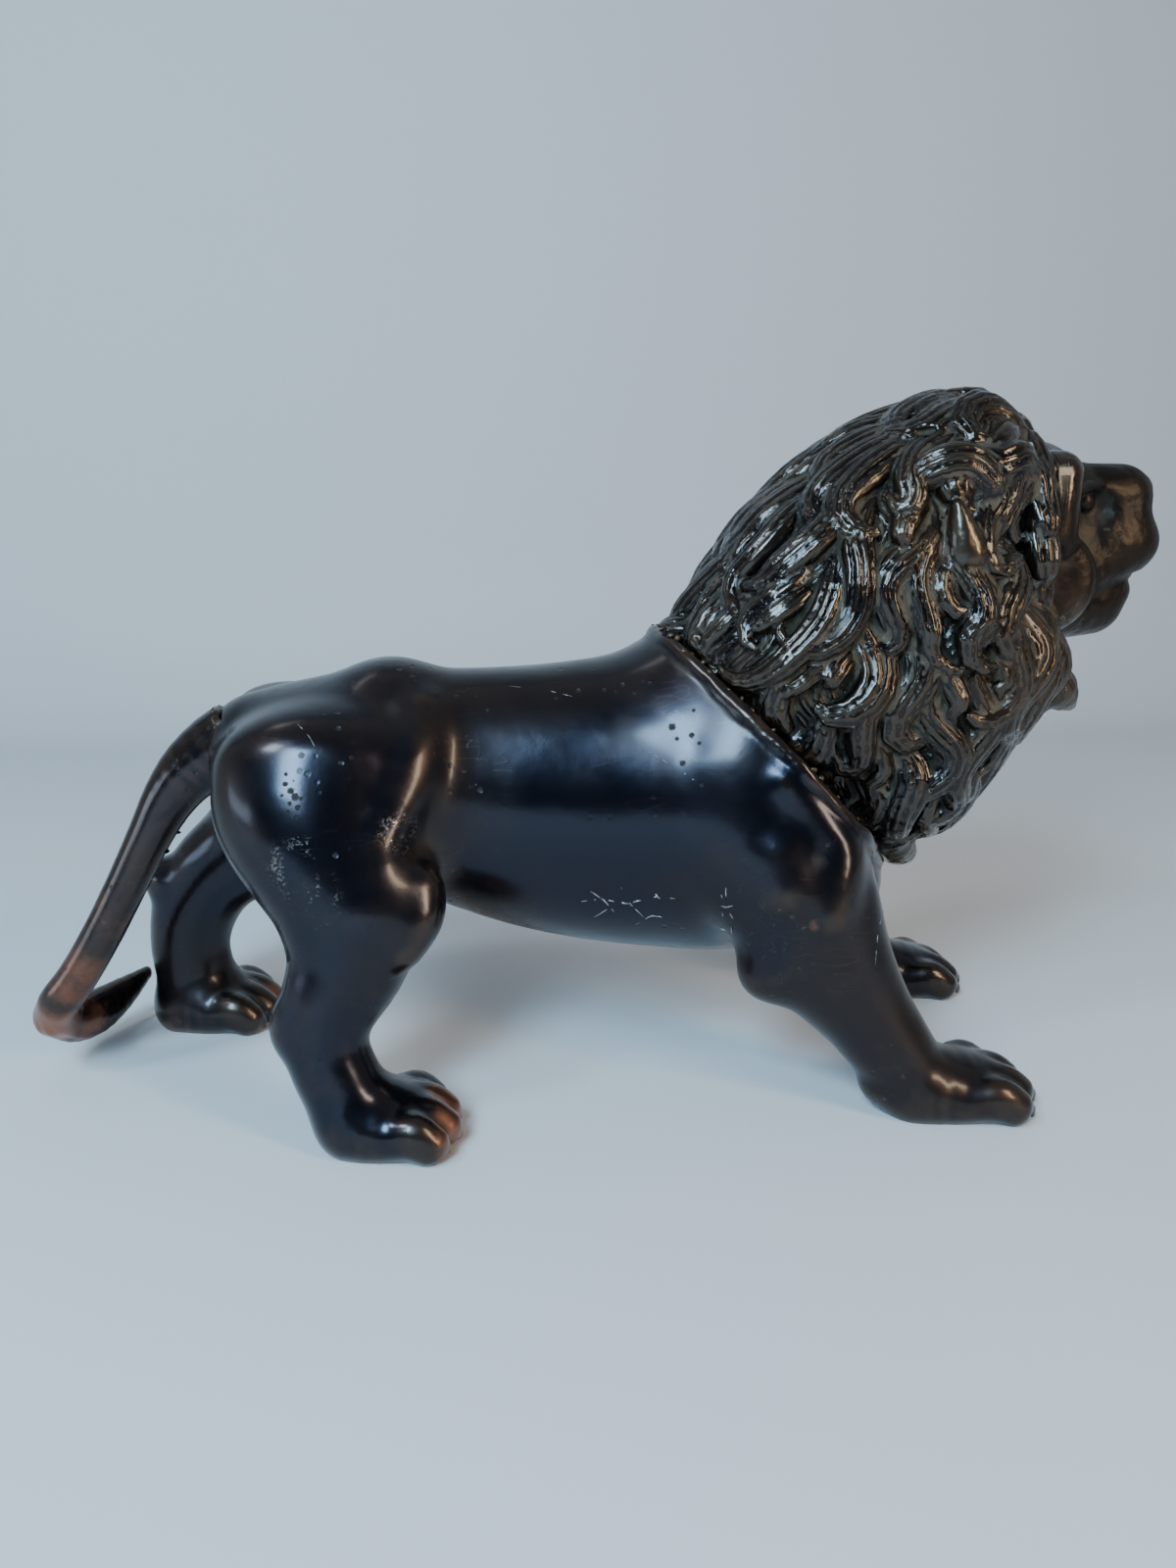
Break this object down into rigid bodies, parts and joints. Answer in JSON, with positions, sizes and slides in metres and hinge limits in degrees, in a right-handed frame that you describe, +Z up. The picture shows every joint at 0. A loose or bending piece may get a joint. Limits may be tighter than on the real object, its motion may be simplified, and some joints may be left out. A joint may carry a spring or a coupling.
{
  "type": "metal lion figure",
  "caption": "Cast metal figure of a standing maned lion with raised head, striding legs and a long tail that curls out at its tuft.",
  "frame": {"origin": "middle of the underside of the bounding box, in the plane that the four soles stand on", "axes": "+X forward towards the nose, +Y to the lion's left, +Z up"},
  "size_m": [0.2938, 0.1035, 0.1781],
  "materials": {
    "body_metal": "dark glossy patina on cast bronze, blue-black with brown, worn at the paws",
    "mane_metal": "dark brown patina on cast bronze with brown dirt in the grooves of the mane",
    "tail_metal": "dark patina on cast bronze, rubbed copper-red along the lower half"
  },
  "bodies": {
    "root": {"body": "body_metal", "head_and_mane": "mane_metal", "tail": "tail_metal"}
  },
  "joints": []
}
